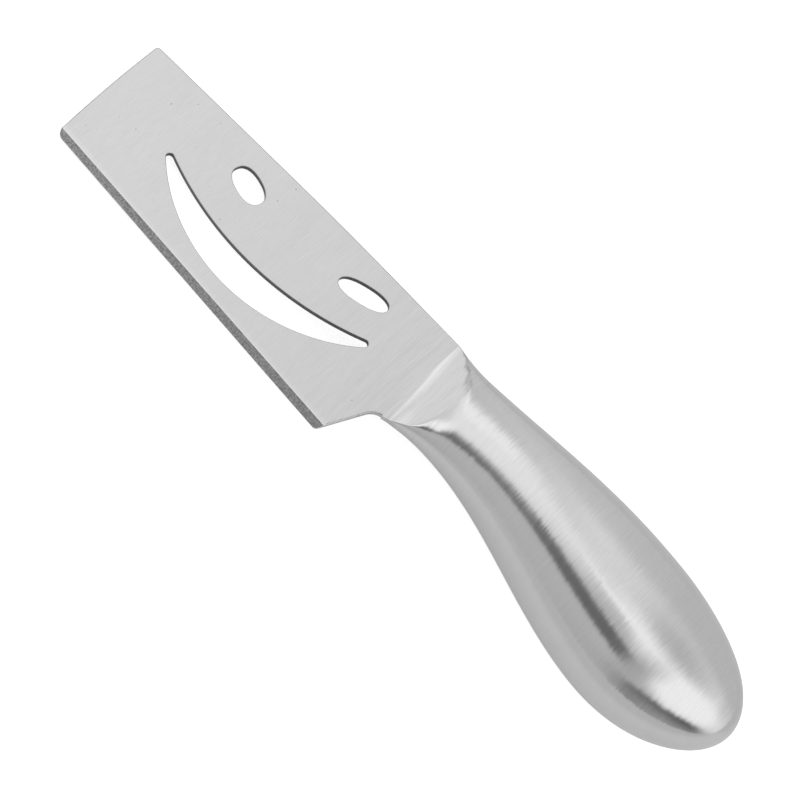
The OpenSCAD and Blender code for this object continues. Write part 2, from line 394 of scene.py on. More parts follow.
@dataclass(frozen=True)
class RestPose:
    """How the knife lies on its tip and belly: tipped, then moved over the middle of its box."""

    tilt: float
    shift: float
    lift: float

    def matrix(self) -> Matrix:
        """From the knife's own frame in mm to the row frame in metres."""
        move = Matrix.Translation(Vector((self.shift, 0.0, self.lift)) * MM)
        return move @ Matrix.Rotation(self.tilt, 4, "Y") @ Matrix.Scale(MM, 4)

    def direction(self, vector: Sequence[float]) -> Vector:
        """A direction of the knife's own frame, in the row frame."""
        return Matrix.Rotation(self.tilt, 3, "Y") @ Vector(vector)

    def point(self, vector: Sequence[float]) -> Vector:
        """A point of the knife's own frame, in the row frame."""
        return self.matrix() @ Vector(vector)


def emptied(owner: bpy.types.Material | bpy.types.World) -> Graph:
    """The shader graph of a material or a world, with no node left in it.

    Args:
        owner: What the graph belongs to.

    Returns:
        The empty graph.
    """
    owner.use_nodes = True
    owner.node_tree.nodes.clear()
    return Graph(owner.node_tree)


def placed(name: str, data: bpy.types.ID) -> bpy.types.Object:
    """A new object in the scene.

    Args:
        name: The object's name.
        data: Its mesh or camera.

    Returns:
        The object.
    """
    made = bpy.data.objects.new(name, data)
    bpy.context.scene.collection.objects.link(made)
    return made


@dataclass(frozen=True)
class Grain:
    """Noise stretched to lines: the length of one grain in mm along each axis, and its finer layers."""

    x: float
    y: float
    z: float
    detail: float = 2.0


@dataclass(frozen=True)
class SteelFinish:
    """A brushed steel: its colour and gloss, how strongly each mark of its making shows, how much painted
    shade darkens its hole walls, bevel, crease and hollow, and how much painted light brightens it towards
    the tip.
    """

    slot: Slot
    base: tuple[float, float, float] = (0.66, 0.66, 0.66)
    roughness: float = 0.14
    tilt: float = 0.07
    cross_tilt: float = 0.05
    streak: float = 0.10
    root_streak: float = 0.0
    fade: float = 0.0
    cloud: float = 0.06
    grit: float = 0.05
    pits: float = 0.0
    wall_finish_and_shade_share: float = 0.2
    bevel_shade_share: float = 1.0
    crease_shade_depth: float = 0.45


@dataclass
class BrushedSteel:
    """Makes a steel's material: brush lines run across the knife and tip the surface to and fro.

    The pairs give where a mark starts and where it is full: the flatness of a face, from 0 upright to 1
    level, for the walls of cut-outs, partly darkened with painted shade, and for the bevel, darkened with
    painted shade; mm before the shoulder for the root's streaks.
    """

    finish: SteelFinish
    pose: RestPose
    fine: Grain = Grain(0.32, 9.0, 7.0)
    middle: Grain = Grain(1.1, 16.0, 12.0)
    broad: Grain = Grain(7.0, 22.0, 14.0)
    sideways: Grain = Grain(0.12, 4.0, 4.0)
    grit: Grain = Grain(0.2, 2.6, 2.6, 3.0)
    crease_wobble: Grain = Grain(0.9, 1.6, 1.6)
    speck: Grain = Grain(0.3, 0.3, 0.3, 1.0)
    pit: Grain = Grain(0.5, 0.5, 0.5, 0.0)
    wall_flatness: tuple[float, float] = (0.727, 0.273)
    bevel_flatness: tuple[float, float] = (0.985, 0.968)
    steep_flatness: tuple[float, float] = (0.85, 0.9)
    root_ends: tuple[float, float] = (15.0, 3.0)
    pit_ends: tuple[float, float] = (0.345, 0.385)
    painted_tip_light_middle: float = 34.0
    middle_tilt_share: float = 0.4
    speck_swing: float = 1.6
    crease_wobble_level: float = 0.7
    crease_wobble_swing: float = 1.5
    line_rough: float = 0.08
    wall_rough: float = 0.2
    crease_rough: float = 0.15

    def __post_init__(self) -> None:
        """Start the material, named for its slot, and find the place in mm in the knife's own frame."""
        self.made = bpy.data.materials.new(self.finish.slot.value)
        self.graph = emptied(self.made)
        back = Matrix.Rotation(-self.pose.tilt, 3, "Y") @ Vector((self.pose.shift, 0.0, self.pose.lift))
        self.place = self.graph.expr(
            "ShaderNodeMapping",
            {
                "Vector": self.graph.expr("ShaderNodeTexCoord", out="Object"),
                "Location": tuple(-back),
                "Rotation": (0.0, -self.pose.tilt, 0.0),
                "Scale": (1 / MM, 1 / MM, 1 / MM),
            },
        )

    def material(self) -> bpy.types.Material:
        """Finish the material.

        Returns:
            The material with all its nodes.
        """
        finish, graph = self.finish, self.graph
        fine, middle = self._noise(self.fine), self._noise(self.middle)
        upward = tuple(self.pose.direction((0.0, 0.0, 1.0)))
        true_normal = graph.expr("ShaderNodeNewGeometry", out="True Normal")
        flatness = size_of(graph.vector("DOT_PRODUCT", true_normal, upward, out="Value"))
        # Walls of cut-outs are darkened below: partly their cut finish, partly painted shade.
        wall = graph.mark("cut") * ramp(flatness, *self.wall_flatness)
        # Painted shade on the neck: darker and rougher along the spine-side crease and a little in the
        # hollow, in uneven patches.
        crease_wobble = self.crease_wobble_level + self.crease_wobble_swing * self._noise(self.crease_wobble)
        neck_shade = clamped(graph.mark("crease") * crease_wobble)
        # Painted shade darkens the bevel here.
        shade = self._brushed(fine + middle) * self._bevel_shade(flatness)
        shade = shade * (1.0 - wall * (1.0 - finish.wall_finish_and_shade_share)) * (1.0 - neck_shade * finish.crease_shade_depth)
        tone = graph.expr("ShaderNodeCombineColor", {i: shade * finish.base[i] for i in range(3)})
        rough = finish.roughness + middle * self.line_rough + wall * self.wall_rough
        rough = rough + neck_shade * self.crease_rough
        bent = self._bent(fine + middle * self.middle_tilt_share)
        shader = graph.expr(
            "ShaderNodeBsdfPrincipled",
            {"Base Color": tone, "Metallic": 1.0, "Roughness": rough, "Normal": bent},
        )
        graph.node("ShaderNodeOutputMaterial", {"Surface": shader})
        return self.made

    def _noise(self, grain: Grain) -> Expr:
        """A grain's noise, from about -0.5 to 0.5."""
        spot = self.graph.vector("DIVIDE", self.place, (grain.x, grain.y, grain.z))
        inputs = {"Vector": spot, "Scale": 1.0, "Detail": grain.detail}
        return self.graph.expr("ShaderNodeTexNoise", inputs) - 0.5

    def _brushed(self, lines: Expr) -> Expr:
        """The brush lines', the pits' and the painted light's share of the steel's tone, with painted light
        that brightens it towards the tip.

        Args:
            lines: The brush lines' noise.

        Returns:
            A factor of about 1.
        """
        finish = self.finish
        ahead = self.graph.share(self.place, "X")
        streak = finish.streak + finish.root_streak * ramp(ahead, *self.root_ends)
        shade = 1.0 + lines * streak + self._noise(self.broad) * finish.cloud
        shade = shade + self._noise(self.grit) * finish.grit
        # Painted light: the tone grows lighter towards the tip and darker towards the neck, about the
        # middle of the blade.
        shade = shade * (1.0 + (ahead - self.painted_tip_light_middle) * finish.fade)
        return shade * (1.0 - finish.pits * ramp(self._noise(self.pit), *self.pit_ends))

    def _bevel_shade(self, flatness: Expr) -> Expr:
        """The bevel's share of the steel's tone: painted shade that darkens the bevel, speckled like a
        coarse grind.

        Args:
            flatness: How level the face is.

        Returns:
            A factor of up to 1, speckled on the bevel.
        """
        bevel = ramp(flatness, *self.bevel_flatness) * ramp(flatness, *self.steep_flatness)
        speckled = 1.0 + self._noise(self.speck) * self.speck_swing
        return 1.0 - bevel * (1.0 - self.finish.bevel_shade_share) * speckled

    def _bent(self, lines: Expr) -> Expr:
        """The normal, tipped along the knife by the brush lines and a little across it.

        Args:
            lines: The brush lines' noise.

        Returns:
            The tipped normal.
        """
        graph = self.graph
        normal = graph.expr("ShaderNodeNewGeometry", out="Normal")
        along = tuple(self.pose.direction((1.0, 0.0, 0.0)))
        tipped = graph.scaled(along, lines * self.finish.tilt)
        sideways = self._noise(self.sideways) * self.finish.cross_tilt
        across = graph.scaled(graph.vector("CROSS_PRODUCT", normal, along), sideways)
        return graph.vector("NORMALIZE", graph.vector("ADD", graph.vector("ADD", normal, tipped), across))


@dataclass
class Skin:
    """A piece in the making: corner places in mm, faces, wanted normals and marks.

    A wanted normal of zero leaves a corner as it falls.
    """

    places: np.ndarray
    faces: list[tuple[int, ...]]
    normals: np.ndarray
    marks: dict[str, np.ndarray] = field(default_factory=dict)


@dataclass(frozen=True)
class Piece:
    """Hands one closed skin over to the frame as a shown piece that stands for one of the part's nodes."""

    name: str
    node: str
    slot: Slot
    same_face: float = 0.7

    def corner_normals(self, mesh: bpy.types.Mesh, skin: Skin, pose: RestPose) -> np.ndarray:
        """Normals for the corners of all faces.

        Args:
            mesh: The mesh in the row frame.
            skin: The skin that it was made from.
            pose: How the knife lies.

        Returns:
            The wanted normal where it suits a face, and the face's own normal elsewhere.
        """
        wanted = skin.normals @ np.array(Matrix.Rotation(pose.tilt, 3, "Y")).T
        own = np.zeros(len(mesh.polygons) * 3)
        mesh.polygons.foreach_get("normal", own)
        counts = np.zeros(len(mesh.polygons), dtype=np.int32)
        mesh.polygons.foreach_get("loop_total", counts)
        corners = np.zeros(len(mesh.loops), dtype=np.int32)
        mesh.loops.foreach_get("vertex_index", corners)
        own = np.repeat(own.reshape(-1, 3), counts, axis=0)
        wanted = wanted[corners]
        suits = np.sum(own * wanted, axis=1, keepdims=True) > self.same_face
        return np.where(suits, wanted, own)

    def show(self, skin: Skin, pose: RestPose, material: bpy.types.Material) -> bpy.types.Object:
        """Args:
            skin: The closed skin in the knife's own frame.
            pose: How the knife lies.
            material: The piece's material.

        Returns:
            The shown object.
        """
        mesh = bpy.data.meshes.new(self.name)
        mesh.from_pydata(skin.places.tolist(), [], skin.faces)
        mesh.transform(pose.matrix())
        mesh.materials.append(material)
        for name, values in skin.marks.items():
            mark = mesh.attributes.new(name, "FLOAT", "POINT")
            mark.data.foreach_set("value", values.astype(np.float32))
        mesh.validate()
        mesh.shade_smooth()
        mesh.normals_split_custom_set(self.corner_normals(mesh, skin, pose).tolist())
        piece = placed(self.name, mesh)
        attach(piece, "root")
        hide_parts(self.node)
        LOG.info("%s: %d faces, for %s", self.name, len(mesh.polygons), self.node)
        return piece


@dataclass(frozen=True)
class Patch:
    """A stretch of the handle's skin: its grid, its lengths along the back and its section angles.

    A seam side of 1 leaves the seam weld's band free at both ends of the sweep, and -1 covers that band.
    """

    rows: int
    columns: int
    along_from: float
    along_to: float
    turn_from: float = 0.0
    sweep: float = 2 * math.pi
    seam_side: float = 1.0
    seam_half: float = 0.0


class SkinTree:
    """A Geometry Nodes tree that lays a grid over the handle by its rule."""

    def __init__(self, name: str) -> None:
        """Build the tree.

        Args:
            name: The tree's name.
        """
        self.tree = bpy.data.node_groups.new(name, "GeometryNodeTree")
        self.sockets: dict[str, str] = {}
        self._input("material", "NodeSocketMaterial")
        for item in (*fields(Patch), *fields(HandleRule)):
            self._input(item.name, "NodeSocketInt" if item.type is int else "NodeSocketFloat", item.default)
        self.tree.interface.new_socket("skin", in_out="OUTPUT", socket_type="NodeSocketGeometry")
        self._build()

    def _input(self, name: str, kind: str, value: object = MISSING) -> None:
        """Add one named input.

        Args:
            name: The input's name.
            kind: The socket's type name.
            value: The default value, if it has one.
        """
        socket = self.tree.interface.new_socket(name, in_out="INPUT", socket_type=kind)
        if value is not MISSING:
            socket.default_value = value
        self.sockets[name] = socket.identifier

    def _build(self) -> None:
        """Grid, rule, position, then realized instances with a material."""
        graph = Graph(self.tree)
        source = graph.node("NodeGroupInput")
        given = {name: Expr(graph, source.outputs[name]) for name in self.sockets}
        rule = HandleRule(**{length.name: given[length.name] for length in fields(HandleRule)})
        skin = graph.expr(
            "GeometryNodeMeshGrid",
            {"Size X": 1.0, "Size Y": 1.0, "Vertices X": given["rows"], "Vertices Y": given["columns"]},
        )
        spot = graph.expr("GeometryNodeInputPosition")
        along = between(given["along_from"], given["along_to"], graph.share(spot, "X") + 0.5)
        low = rule.seam_turn(along, given["seam_half"]) * given["seam_side"]
        turn = given["turn_from"] + low + (given["sweep"] - 2.0 * low) * (graph.share(spot, "Y") + 0.5)
        for name, value in (("along", along), ("turn", turn)):
            skin = graph.expr(
                "GeometryNodeStoreNamedAttribute",
                {"Geometry": skin, "Name": name, "Value": value},
                data_type="FLOAT",
                domain="POINT",
            )
        along, turn = (
            graph.expr("GeometryNodeInputNamedAttribute", {"Name": name}, data_type="FLOAT")
            for name in ("along", "turn")
        )
        place = graph.joined(*rule.point(along, turn))
        skin = graph.expr("GeometryNodeSetPosition", {"Geometry": skin, "Position": place})
        skin = graph.expr("GeometryNodeRealizeInstances", {"Geometry": skin})
        skin = graph.expr("GeometryNodeSetMaterial", {"Geometry": skin, "Material": given["material"]})
        graph.node("NodeGroupOutput", {"skin": skin})

    def lay(self, rule: HandleRule, patch: Patch, material: bpy.types.Material) -> Skin:
        """Evaluate the tree once and take its mesh.

        Args:
            rule: The handle's lengths.
            patch: The stretch that is wanted.
            material: The skin's material.

        Returns:
            An open skin with the rule's own normals.
        """
        carrier = placed("carrier", bpy.data.meshes.new("carrier"))
        modifier = carrier.modifiers.new("skin", "NODES")
        modifier.node_group = self.tree
        # Inputs are set by identifier, before the object is first evaluated.
        modifier[self.sockets["material"]] = material
        for source in (patch, rule):
            for item in fields(source):
                modifier[self.sockets[item.name]] = getattr(source, item.name)
        graph = bpy.context.evaluated_depsgraph_get()
        mesh = bpy.data.meshes.new_from_object(carrier.evaluated_get(graph))
        count = len(mesh.vertices)
        along, turn, places = np.zeros(count), np.zeros(count), np.zeros(count * 3)
        mesh.attributes["along"].data.foreach_get("value", along)
        mesh.attributes["turn"].data.foreach_get("value", turn)
        mesh.vertices.foreach_get("co", places)
        faces = [tuple(face.vertices) for face in mesh.polygons]
        carrier.modifiers.remove(modifier)
        bpy.data.objects.remove(carrier)
        bpy.data.meshes.remove(mesh)
        return Skin(places.reshape(-1, 3), faces, rule.normals(along, turn))


def welded(skins: Sequence[Skin]) -> bmesh.types.BMesh:
    """Skins put together, with corners at the same place made one.

    Args:
        skins: Open skins with normals.

    Returns:
        A mesh that carries the normals in the layer "facing".
    """
    made = bmesh.new()
    facing = made.verts.layers.float_vector.new("facing")
    for skin in skins:
        corners = [made.verts.new(place) for place in skin.places]
        for corner, normal in zip(corners, skin.normals):
            corner[facing] = Vector(normal)
        for face in skin.faces:
            made.faces.new([corners[i] for i in face])
    bmesh.ops.remove_doubles(made, verts=made.verts, dist=TINY)
    bmesh.ops.dissolve_degenerate(made, edges=made.edges, dist=TINY / 10)
    return made


def taken(made: bmesh.types.BMesh) -> Skin:
    """The closed skin that a mesh holds, after which the mesh is freed.

    Args:
        made: A mesh with the layer "facing".

    Returns:
        Places, faces and normals.
    """
    facing = made.verts.layers.float_vector["facing"]
    made.verts.index_update()
    places = np.array([corner.co for corner in made.verts])
    normals = np.array([corner[facing] for corner in made.verts])
    faces = [tuple(corner.index for corner in face.verts) for face in made.faces]
    made.free()
    return Skin(places, faces, normals)


def capped(made: bmesh.types.BMesh) -> None:
    """Close every open rim of a mesh with one face."""
    bmesh.ops.holes_fill(made, edges=[edge for edge in made.edges if edge.is_boundary], sides=0)


def sliced(
    made: bmesh.types.BMesh, at: Vector, away: Vector, clear: bool = False
) -> list[bmesh.types.BMVert | bmesh.types.BMEdge]:
    """Cut a mesh along a plane.

    Args:
        made: The mesh.
        at: A point of the plane.
        away: The plane's direction.
        clear: Whether what lies on that side is cleared away.

    Returns:
        The corners and edges that the cut made.
    """
    geom = [*made.verts, *made.edges, *made.faces]
    cut = bmesh.ops.bisect_plane(
        made, geom=geom, dist=TINY / 10, plane_co=at, plane_no=away, clear_outer=clear
    )
    return cut["geom_cut"]


def thickened(skins: Sequence[Skin], wall: float) -> Skin:
    """A wall behind an open skin, closed round its rim.

    Args:
        skins: Open skins that make up the outer side.
        wall: Thickness of the wall.

    Returns:
        The closed skin.
    """
    made = welded(skins)
    facing = made.verts.layers.float_vector["facing"]
    outer = list(made.verts)
    faces = list(made.faces)
    rims = [edge for edge in made.edges if edge.is_boundary]
    inner: dict[bmesh.types.BMVert, bmesh.types.BMVert] = {}
    for corner in outer:
        copy = made.verts.new(corner.co - corner[facing].normalized() * wall)
        copy[facing] = -corner[facing]
        inner[corner] = copy
    for face in faces:
        made.faces.new([inner[corner] for corner in reversed(face.verts)])
    for edge in rims:
        loop = edge.link_loops[0]
        a, b = loop.vert, loop.link_loop_next.vert
        made.faces.new([b, a, inner[a], inner[b]])
    return taken(made)


@dataclass
class Handle:
    """The plump hollow handle: two pressed halves, the weld between them and the weld at the neck."""

    rule: HandleRule
    wall: float = 1.0
    seam_t: float = 0.6
    weld_from: float = 8.7
    shell_from: float = 9.5
    rows: int = 170
    columns: int = 130
    weld_rows: int = 9

    def build(self, tree: SkinTree, pose: RestPose, steel: dict[Slot, bpy.types.Material]) -> None:
        """Make the four pieces.

        Args:
            tree: The tree that lays skins by the handle's rule.
            pose: How the knife lies.
            steel: Materials by slot.
        """
        rule, seam_half = self.rule, self.seam_t / 2
        end_l = rule.handle_l - rule.bulb_at
        half_to = rule.bulb_at + math.acos(self.seam_t / rule.bulb_h) * end_l
        band_to = rule.bulb_at + math.pi / 2 * end_l
        half = Patch(self.rows, self.columns, self.shell_from, half_to, sweep=math.pi, seam_half=seam_half)
        band = replace(half, columns=self.weld_rows, along_to=band_to, sweep=0.0, seam_side=-1.0)
        lower_half, spine_band = (replace(patch, turn_from=math.pi) for patch in (half, band))
        ring = Patch(self.weld_rows, 2 * self.columns, self.weld_from, self.shell_from)
        pieces = (
            (Piece("handle_top", "handle_top_shell", Slot.HANDLE), [half]),
            (Piece("handle_bottom", "handle_bottom_shell", Slot.HANDLE), [lower_half]),
            (Piece("seam_strip", "seam_weld", Slot.WELD), [band, spine_band]),
            (Piece("neck_ring", "neck_weld", Slot.WELD), [ring]),
        )
        for piece, patches in pieces:
            material = steel[piece.slot]
            skins = [tree.lay(rule, patch, material) for patch in patches]
            piece.show(thickened(skins, self.wall), pose, material)


@dataclass
class Neck:
    """The solid neck, ground to a flat and a hollow on each face.

    The crease's waves are amplitude, waves along the knife and start; its pairs are places behind the
    shoulder, or shares of the half width, where it starts and where it is full.
    """

    rule: HandleRule
    length: float = 8.7
    rows: int = 110
    columns: int = 440
    # The crease and hollow fields below place painted shade, which also makes the steel rougher there.
    crease_w: float = 0.26
    crease_waves: tuple[tuple[float, float, float], ...] = ((0.12, 3.1, 0.0), (0.06, 8.3, 1.0))
    crease_front: tuple[float, float] = (1.2, 2.0)
    crease_back: tuple[float, float] = (8.2, 7.0)
    crease_side: tuple[float, float] = (-0.1, -0.35)
    hollow_dull_and_shade: float = 0.3
    hollow_shade_at: float = 1.5
    hollow_shade_ends: tuple[float, float] = (1.4, 0.4)
    hollow_shade_side: tuple[float, float] = (-0.3, 0.7)

    def build(self, tree: SkinTree, pose: RestPose, material: bpy.types.Material) -> None:
        """Make the neck.

        Args:
            tree: The tree that lays skins by the handle's rule.
            pose: How the knife lies.
            material: The neck's steel.
        """
        patch = Patch(self.rows, self.columns, 0.0, self.length)
        made = welded([tree.lay(self.rule, patch, material)])
        capped(made)
        skin = taken(made)
        skin.marks["crease"] = self.crease(skin.places)
        Piece("ground_neck", "neck_bolster", Slot.NECK).show(skin, pose, material)

    def crease(self, places: np.ndarray) -> np.ndarray:
        """How much painted shade darkens the neck, and how much rougher it is: most along the crease on the
        spine's side, a little in the hollow.

        Args:
            places: Corners in the knife's own frame.

        Returns:
            A share from 0 to 1 for each corner.
        """
        rule = self.rule
        s = -places[:, 0]
        half = rule.half_width(s)
        side = (places[:, 1] - rule.middle(s)) / half
        oval = clamped(1.0 - raised(size_of(side), rule.section_power))
        gap = rule.half_height(s) * raised(oval, 1 / rule.section_power) - rule.ground_level(s, side * half)
        for height, waves, start in self.crease_waves:
            gap = gap + height * np.sin(waves * s + start)
        near = np.exp(-np.square(gap / self.crease_w)) * ramp(side, *self.crease_side)
        near = near * ramp(s, *self.crease_front) * ramp(s, *self.crease_back)
        hollow_dull_and_shade = ramp(size_of(s - self.hollow_shade_at), *self.hollow_shade_ends) * ramp(side, *self.hollow_shade_side)
        return near + self.hollow_dull_and_shade * hollow_dull_and_shade


def arc(centre: Sequence[float], r: float, start: float, stop: float, steps: int) -> np.ndarray:
    """Points on an arc.

    Args:
        centre: The arc's centre.
        r: Its radius.
        start: Angle of its first point, in radians.
        stop: Angle of its last point.
        steps: Number of its facets.

    Returns:
        The points, both ends included.
    """
    angles = np.linspace(start, stop, steps + 1)
    return np.stack([centre[0] + r * np.cos(angles), centre[1] + r * np.sin(angles)], axis=1)


def angle_of(vector: np.ndarray) -> float:
    """Angle of a flat vector, in radians."""
    return math.atan2(vector[1], vector[0])


def rounded_loop(corners: Sequence[tuple[float, float, float]], steps: int) -> np.ndarray:
    """A closed loop with each corner rounded by its own radius.

    Args:
        corners: Place and radius of each corner, in order.
        steps: Facets of one rounding.

    Returns:
        The loop's points.
    """
    loop: list[np.ndarray] = []
    count = len(corners)
    for i, (x, y, r) in enumerate(corners):
        here = np.array([x, y])
        if r == 0:
            loop.append(here[None])
            continue
        before = np.array(corners[i - 1][:2]) - here
        after = np.array(corners[(i + 1) % count][:2]) - here
        before /= np.linalg.norm(before)
        after /= np.linalg.norm(after)
        half = math.acos(float(np.clip(before @ after, -1, 1))) / 2
        inward = (before + after) / np.linalg.norm(before + after)
        centre = here + inward * r / math.sin(half)
        start = angle_of(here + before * r / math.tan(half) - centre)
        stop = angle_of(here + after * r / math.tan(half) - centre)
        loop.append(arc(centre, r, start, start + math.remainder(stop - start, 2 * math.pi), steps))
    return np.concatenate(loop)


def cut_at_shoulder(loop: np.ndarray) -> np.ndarray:
    """The part of a loop in front of the shoulder.

    Args:
        loop: A loop that starts and ends behind the shoulder.

    Returns:
        Its points, with the two cut ends at the shoulder.
    """
    ahead = np.flatnonzero(loop[:, 0] > 0)
    first, last = ahead[0], ahead[-1]
    ends: list[np.ndarray] = []
    for inside, outside in ((first, first - 1), (last, last + 1)):
        a, b = loop[outside], loop[inside]
        ends.append(a + (b - a) * (-a[0] / (b[0] - a[0])))
    return np.concatenate([ends[:1], loop[first : last + 1], ends[1:]])


@dataclass(frozen=True)
class Mouth:
    """The smile: a lower and an upper lip, each an arc, with small rounded corners where they meet."""

    lower_at: float = 34.05
    upper_at: float = 34.52
    drop: float = 22.9
    gap: float = 6.12
    lower_r: float = 33.3
    upper_r: float = 58.4
    corner_r: float = 0.72
    lip_steps: int = 90
    corner_steps: int = 12

    def loop(self, spine_y: float) -> np.ndarray:
        """The mouth's loop.

        Args:
            spine_y: Sideways place of the spine.

        Returns:
            Its points, from the tip's side along the lower lip and back along the upper one.
        """
        low = np.array([self.lower_at, spine_y + self.drop - self.lower_r])
        high = np.array([self.upper_at, spine_y + self.drop - self.gap - self.upper_r])
        # Both lips' arcs, moved into the mouth by a corner's radius, cross at the corner's centre.
        lower, upper = self.lower_r - self.corner_r, self.upper_r + self.corner_r
        apart = float(np.linalg.norm(high - low))
        towards = (high - low) / apart
        foot = (lower * lower - upper * upper + apart * apart) / (2 * apart)
        reach = math.sqrt(lower * lower - foot * foot) * np.array([-towards[1], towards[0]])
        front, back = low + towards * foot + reach, low + towards * foot - reach
        front_low, front_high = angle_of(front - low), angle_of(front - high)
        back_low, back_high = angle_of(back - low), angle_of(back - high)
        parts = [
            arc(low, self.lower_r, front_low, back_low, self.lip_steps),
            arc(back, self.corner_r, back_low, back_high + math.pi, self.corner_steps)[1:-1],
            arc(high, self.upper_r, back_high, front_high, self.lip_steps),
            arc(front, self.corner_r, front_high - math.pi, front_low, self.corner_steps)[1:-1],
        ]
        return np.concatenate(parts)


@dataclass(frozen=True)
class Eye:
    """One eye, an oval with slightly blunted ends: its places, its size and its turn in degrees."""

    at: float
    drop: float
    length: float
    height: float
    turn: float
    power: float = 2.35
    steps: int = 96

    def loop(self, spine_y: float) -> np.ndarray:
        """The eye's loop.

        Args:
            spine_y: Sideways place of the spine.

        Returns:
            Its points.
        """
        angles = np.linspace(0, 2 * math.pi, self.steps, endpoint=False)
        ring = np.stack([np.cos(angles), np.sin(angles)], axis=1)
        flat = np.sign(ring) * np.abs(ring) ** (2 / self.power) * [self.length / 2, self.height / 2]
        c, s = math.cos(math.radians(self.turn)), math.sin(math.radians(self.turn))
        return flat @ np.array([[c, s], [-s, c]]) + [self.at, spine_y + self.drop]


@dataclass
class Blade:
    """The stamped blade: outline, the smile cut through it, rounded rims and a bevel on each face.

    Each facet of the bevel is its lean in degrees and how far it starts inside the bevel's own width.
    """

    length: float = 72.5
    width: float = 29.75
    tip_w: float = 24.55
    thickness: float = 1.1
    tip_crown: float = 0.45
    tip_lean: float = 0.4
    spine_corner_r: float = 0.7
    edge_corner_r: float = 1.2
    edge_out: float = 0.09
    edge_tip_r: float = 1.7
    edge_tip_back: float = 0.12
    heel_l: float = 5.98
    heel_angle: float = 24.5
    heel_r: float = 0.8
    heel_hollow_r: float = 3.0
    neck_side_y: float = 4.73
    neck_spine_y: float = -14.38
    bow_at: float = 27.0
    bow_out: float = 0.2
    tip_in: float = 0.07
    corner_steps: int = 14
    bevel_w: float = 1.68
    bevel_taper: float = 0.28
    facets: tuple[tuple[float, float], ...] = ((3.0, 0.6), (6.5, 0.3), (16.4, 0.0))
    rim_r: float = 0.2
    hole_rim_r: float = 0.11
    rim_bends: tuple[float, ...] = (0.0, 30.0, 60.0, 90.0)
    root_run: float = 1.6
    root_lean: float = 5.5
    root_shares: tuple[float, ...] = (0.2, 0.4, 0.7, 1.0)
    mouth: Mouth = Mouth()
    front_eye: Eye = Eye(44.0, 6.8, 7.5, 4.55, -15.6)
    back_eye: Eye = Eye(17.2, 6.25, 9.6, 3.65, 14.2)

    @property
    def spine_y(self) -> float:
        """Sideways place of the spine."""
        return -self.width / 2

    @property
    def edge_y(self) -> float:
        """Sideways place of the cutting edge at the heel."""
        return self.width / 2 + self.edge_out

    def crown(self) -> tuple[float, float, float]:
        """The tip's crown, a blunt peak that is rounded off.

        Returns:
            The peak's distance from the shoulder, half its turn in radians, and its rounding.
        """
        half_turn = math.atan(2 * self.tip_crown / self.tip_w)
        r = (self.tip_w / 2 - 2 * self.edge_corner_r) / math.tan(half_turn)
        return self.length + self.tip_crown - self.tip_lean / 2, half_turn, r

    def reach(self) -> float:
        """How far the rounded tip stands from the shoulder.

        Returns:
            The distance in mm.
        """
        peak, half_turn, r = self.crown()
        lean = math.atan(self.tip_lean / self.tip_w)
        return peak - r * (math.cos(lean) / math.cos(half_turn) - 1)

    def outline(self) -> np.ndarray:
        """The outer loop.

        Returns:
            Its points, from the shoulder along the spine, round the tip and back along the edge.
        """
        tip_edge_y = self.spine_y + self.tip_w + self.edge_out
        foot_x = self.heel_l - (self.edge_y - self.neck_side_y) * math.tan(math.radians(self.heel_angle))
        bow_y = self.spine_y - self.bow_out
        rise = (self.neck_spine_y - bow_y) / self.bow_at
        fall = (self.bow_out + self.tip_in) / (self.length - self.bow_at)
        peak, _, crown_r = self.crown()
        corners = [
            (-self.heel_l, self.neck_spine_y + rise * self.heel_l, 0.0),
            (self.bow_at, bow_y, self.bow_at / (rise + fall)),
            (self.length, self.spine_y + self.tip_in, self.spine_corner_r),
            (peak, (self.spine_y + tip_edge_y) / 2, crown_r),
            (self.length - self.tip_lean - self.edge_tip_back, tip_edge_y, self.edge_tip_r),
            (self.heel_l, self.edge_y, self.heel_r),
            (foot_x, self.neck_side_y, self.heel_hollow_r),
            (-self.heel_l, self.neck_side_y, 0.0),
        ]
        return cut_at_shoulder(rounded_loop(corners, self.corner_steps))

    def build(self, pose: RestPose, material: bpy.types.Material) -> None:
        """Make the blade.

        Args:
            pose: How the knife lies.
            material: The blade's steel.
        """
        made = bmesh.new()
        made.verts.layers.float_vector.new("facing")
        cut = made.verts.layers.float.new("cut")
        rims: dict[Face, list[bmesh.types.BMEdge]] = {face: [] for face in Face}
        self._wall(made, self.outline(), self.rim_r, rims)
        # Hole walls and their rims are marked cut; the material darkens them, partly for the cut finish,
        # partly as painted shade.
        for hole in (self.mouth, self.front_eye, self.back_eye):
            for corner in self._wall(made, hole.loop(self.spine_y)[::-1], self.hole_rim_r, rims):
                corner[cut] = 1.0
        for face, edges in rims.items():
            self._cover(made, face, edges)
        self._soften_root(made)
        for lean, beyond in self.facets:
            for face in Face:
                self._grind(made, face, lean, self.bevel_w + beyond)
        bmesh.ops.recalc_face_normals(made, faces=made.faces)
        marks = {"cut": np.array([corner[cut] for corner in made.verts])}
        skin = taken(made)
        skin.marks.update(marks)
        Piece("ground_blade", "blade", Slot.BLADE).show(skin, pose, material)

    def _wall(
        self,
        made: bmesh.types.BMesh,
        loop: np.ndarray,
        r: float,
        rims: dict[Face, list[bmesh.types.BMEdge]],
    ) -> list[bmesh.types.BMVert]:
        """Add the wall along one loop, with its rims rounded.

        Args:
            made: The blade's mesh.
            loop: Points of the loop, with the steel on its left side.
            r: Rounding of the rims.
            rims: The edges that bound each face, which the wall's own are added to.

        Returns:
            The wall's corners.
        """
        facing = made.verts.layers.float_vector["facing"]
        ahead = np.roll(loop, -1, axis=0) - loop
        ahead /= np.linalg.norm(ahead, axis=1, keepdims=True)
        both = ahead + np.roll(ahead, 1, axis=0)
        both /= np.linalg.norm(both, axis=1, keepdims=True)
        out = np.stack([both[:, 1], -both[:, 0]], axis=1)
        out[loop[:, 0] < TINY] *= [0.0, 1.0]
